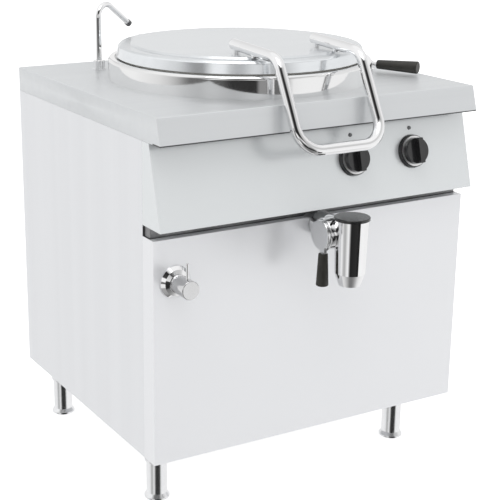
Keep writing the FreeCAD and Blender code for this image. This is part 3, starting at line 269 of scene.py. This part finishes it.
# Nodes whose finish isn't the one that their slot in the record names.
own_finish = {
    "control_panel": "control_steel", "front_panel": "front_steel", "main_frame": "frame_shade_steel",
    "tap_head": "tap_steel", "drain_lever": "leg_steel", "spout_nozzle": "nozzle_painted_reflection",
    "thermostat_ring": "ring_satin", "switch_ring": "ring_satin", "leg_sleeves": "leg_steel",
    "foot_front_left": "leg_steel", "foot_front_right": "leg_steel", "foot_back_left": "leg_steel",
    "foot_back_right": "leg_steel",
}
slot_of = {entry["node"]: entry["material_slot"] for entry in frame["record"]["subparts"]}
for name, obj in nodes.items():
    obj.data.materials.clear()
    obj.data.materials.append(finishes[own_finish.get(name, slot_of[name])])


# Stage: floor, world, lamp and what polished metal mirrors

def make_floor():
    bm = bmesh.new()
    bmesh.ops.create_grid(bm, x_segments=1, y_segments=1, size=FLOOR_SIZE)
    mesh = bpy.data.meshes.new("floor")
    bm.to_mesh(mesh)
    bm.free()
    floor = new_object("floor", mesh)
    mat, tree, out = new_tree("floor")
    diffuse = node(tree, "ShaderNodeBsdfDiffuse", 0)
    diffuse.inputs["Color"].default_value = (*grey(FLOOR_COLOUR), 1)
    lift = node(tree, "ShaderNodeEmission", 0, -200)
    lift.inputs["Strength"].default_value = FLOOR_LIFT
    paths = node(tree, "ShaderNodeLightPath", -400, 300)
    seen = node(tree, "ShaderNodeMixShader", 300)
    both = node(tree, "ShaderNodeAddShader", 150, -100)
    clear = node(tree, "ShaderNodeBsdfTransparent", 300, 200)
    passing = node(tree, "ShaderNodeMixShader", 600)
    either = node(tree, "ShaderNodeMath", 300, 400, operation="MAXIMUM")
    link = tree.links.new
    link(diffuse.outputs["BSDF"], both.inputs[0])
    link(lift.outputs["Emission"], both.inputs[1])
    link(paths.outputs["Is Camera Ray"], seen.inputs["Fac"])
    link(diffuse.outputs["BSDF"], seen.inputs[1])
    link(both.outputs["Shader"], seen.inputs[2])
    link(paths.outputs["Is Glossy Ray"], either.inputs[0])
    link(paths.outputs["Is Transmission Ray"], either.inputs[1])
    link(either.outputs["Value"], passing.inputs["Fac"])
    link(seen.outputs["Shader"], passing.inputs[1])
    link(clear.outputs["BSDF"], passing.inputs[2])
    link(passing.outputs["Shader"], out.inputs["Surface"])
    mesh.materials.append(mat)


def degrees_stops(stops):
    return [((angle + 180.0) / 360.0, grey(value)) for angle, value in stops]


# What polished metal sees all round, in five rings by height with plain white above them: degrees to the
# right of the studio's front, and brightness.
RING_DOWN = [(-180, 0.95), (-100, 0.90), (-62, 0.70), (-46, 0.55), (-30, 0.40), (-18, 0.28), (-6, 0.20),
             (14, 0.20), (28, 0.26), (42, 0.36), (56, 0.52), (74, 0.78), (95, 0.92), (180, 0.95)]
RING_TAP = [(-180, 0.95), (-130, 0.97), (-100, 0.97), (-72, 0.90), (-60, 0.52), (-48, 0.45), (-36, 0.80),
            (-24, 0.95), (-17, 0.35), (-10, 0.02), (38, 0.03), (43, 0.55), (49, 0.95), (70, 1.0), (180, 0.95)]
RING_LOW = [(-180, 0.95), (-130, 0.98), (-104, 1.0), (-88, 0.92), (-74, 0.82), (-64, 0.68), (-56, 0.50),
            (-49, 0.28), (-44, 0.16), (-24, 0.14), (-16, 0.10), (-9, 0.04), (13, 0.035), (15, 0.30),
            (22, 0.30), (25, 0.16), (36, 0.16), (40, 0.60), (45, 0.95), (56, 1.0), (70, 1.0), (180, 0.95)]
RING_LEVEL = [(-180, 0.93), (-130, 0.95), (-88, 0.95), (-72, 0.82), (-58, 0.66), (-48, 0.32), (-42, 0.17),
              (-35, 0.18), (-30, 0.60), (-25, 1.0), (-16, 1.0), (-10, 0.56), (-4, 0.38), (2, 0.44),
              (8, 0.72), (14, 0.80), (27, 0.50), (38, 0.48), (46, 0.72), (56, 0.95), (180, 0.93)]
RING_HIGH = [(-180, 0.78), (-140, 0.88), (-90, 1.0), (-52, 0.98), (-44, 0.75), (-36, 0.50), (-29, 0.18),
             (-20, 0.06), (-10, 0.025), (14, 0.02), (28, 0.05), (34, 0.22), (42, 0.50), (50, 0.62),
             (58, 0.60), (70, 0.64), (90, 0.90), (140, 0.84), (180, 0.74)]
RING_TOP = [(-180, 1.0)]

# Each ring takes over from the one below between these two heights, in degrees above the level.
RING_STEPS = [(RING_TAP, -38, -32), (RING_LOW, -16, -13), (RING_LEVEL, -6, -3), (RING_HIGH, 14, 17),
              (RING_TOP, 42, 50)]


def background(tree, strength, y):
    back = node(tree, "ShaderNodeBackground", 1300, y)
    back.inputs["Color"].default_value = (1.0, 1.0, 1.0, 1)
    back.inputs["Strength"].default_value = strength
    return back


def make_world():
    """White to the camera; metal sees a pale studio with dark panels at fixed places round the object."""
    world = bpy.data.worlds.new("studio")
    bpy.context.scene.world = world
    world.use_nodes = True
    tree = world.node_tree
    tree.nodes.clear()
    link = tree.links.new
    out = node(tree, "ShaderNodeOutputWorld", 1900)
    place = node(tree, "ShaderNodeTexCoord", -1200)
    to_front = node(tree, "ShaderNodeVectorMath", -900, 200, operation="DOT_PRODUCT")
    to_front.inputs[1].default_value = STUDIO_FRONT
    to_right = node(tree, "ShaderNodeVectorMath", -900, 0, operation="DOT_PRODUCT")
    to_right.inputs[1].default_value = STUDIO_RIGHT
    turned = node(tree, "ShaderNodeMath", -700, 100, operation="ARCTAN2")
    parts = node(tree, "ShaderNodeSeparateXYZ", -900, -300)
    link(place.outputs["Generated"], to_front.inputs[0])
    link(place.outputs["Generated"], to_right.inputs[0])
    link(place.outputs["Generated"], parts.inputs["Vector"])
    link(to_right.outputs["Value"], turned.inputs[0])
    link(to_front.outputs["Value"], turned.inputs[1])
    share = map_range(tree, turned.outputs["Value"], (-math.pi, math.pi), x=-500, y=100)

    def ring_of(stops, y):
        ring = node(tree, "ShaderNodeValToRGB", -200, y)
        ramp_stops(ring, degrees_stops(stops))
        link(share, ring.inputs["Fac"])
        return ring.outputs["Color"]

    seen = ring_of(RING_DOWN, 600)
    for i, (stops, low, high) in enumerate(RING_STEPS):
        span = (math.sin(math.radians(low)), math.sin(math.radians(high)))
        mix = node(tree, "ShaderNodeMix", 300 + 200 * i, 200, data_type="RGBA")
        link(map_range(tree, parts.outputs["Z"], span, y=-300 * i), mix.inputs["Factor"])
        link(seen, mix.inputs["A"])
        link(ring_of(stops, 300 - 300 * i), mix.inputs["B"])
        seen = mix.outputs["Result"]
    mirror_back = background(tree, 1.0, 100)
    plain_back = background(tree, PLAIN_LIGHT, -100)
    white_back = background(tree, 1.0, -300)
    paths = node(tree, "ShaderNodeLightPath", 1100, 500)
    by_gloss = node(tree, "ShaderNodeMixShader", 1500)
    by_camera = node(tree, "ShaderNodeMixShader", 1700)
    link(seen, mirror_back.inputs["Color"])
    link(paths.outputs["Is Glossy Ray"], by_gloss.inputs["Fac"])
    link(plain_back.outputs["Background"], by_gloss.inputs[1])
    link(mirror_back.outputs["Background"], by_gloss.inputs[2])
    link(paths.outputs["Is Camera Ray"], by_camera.inputs["Fac"])
    link(by_gloss.outputs["Shader"], by_camera.inputs[1])
    link(white_back.outputs["Background"], by_camera.inputs[2])
    link(by_camera.outputs["Shader"], out.inputs["Surface"])


def make_lamp(name, place, target, size, power):
    light = bpy.data.lights.new(name, "AREA")
    light.energy = power
    light.size = size
    lamp = new_object(name, light)
    lamp.location = place
    lamp.rotation_euler = (Vector(target) - Vector(place)).to_track_quat("-Z", "Y").to_euler()
    lamp.visible_camera = False


def make_card(name, plan, low, high):
    """A small upright black panel along a line in plan, which only polished metal reflects."""
    verts = [(x, y, low) for x, y in plan] + [(x, y, high) for x, y in plan]
    count = len(plan)
    faces = [(i, i + 1, count + i + 1, count + i) for i in range(count - 1)]
    mesh = bpy.data.meshes.new(name)
    mesh.from_pydata(verts, [], faces)
    card = new_object(name, mesh)
    mat = bpy.data.materials.new(name)
    mat.use_nodes = True
    shader = mat.node_tree.nodes["Principled BSDF"]
    shader.inputs["Base Color"].default_value = (*grey(0.01), 1)
    shader.inputs["Roughness"].default_value = 0.9
    mesh.materials.append(mat)
    card.visible_camera = False
    card.visible_diffuse = False
    card.visible_shadow = False


make_floor()
make_world()
make_lamp("key", *KEY_LAMP)
make_card("tap_card", *TAP_CARD)


# Camera

def make_camera():
    data = bpy.data.cameras.new("camera")
    data.lens = CAMERA_LENS
    data.sensor_width = CAMERA_SENSOR
    data.shift_x, data.shift_y = CAMERA_SHIFT
    data.clip_end = CAMERA_FAR_END
    camera = new_object("camera", data)
    forward = Vector((math.sin(CAMERA_YAW) * math.cos(CAMERA_PITCH),
                      math.cos(CAMERA_YAW) * math.cos(CAMERA_PITCH), -math.sin(CAMERA_PITCH)))
    level = Vector((math.cos(CAMERA_YAW), -math.sin(CAMERA_YAW), 0))
    rise = level.cross(forward)
    right = level * math.cos(CAMERA_ROLL) + rise * math.sin(CAMERA_ROLL)
    up = rise * math.cos(CAMERA_ROLL) - level * math.sin(CAMERA_ROLL)
    turn = Matrix((right, up, -forward)).transposed()
    camera.matrix_world = Matrix.Translation(CAMERA_PLACE) @ turn.to_4x4()
    bpy.context.scene.camera = camera


make_camera()
scene = bpy.context.scene
scene.view_settings.view_transform = "Standard"
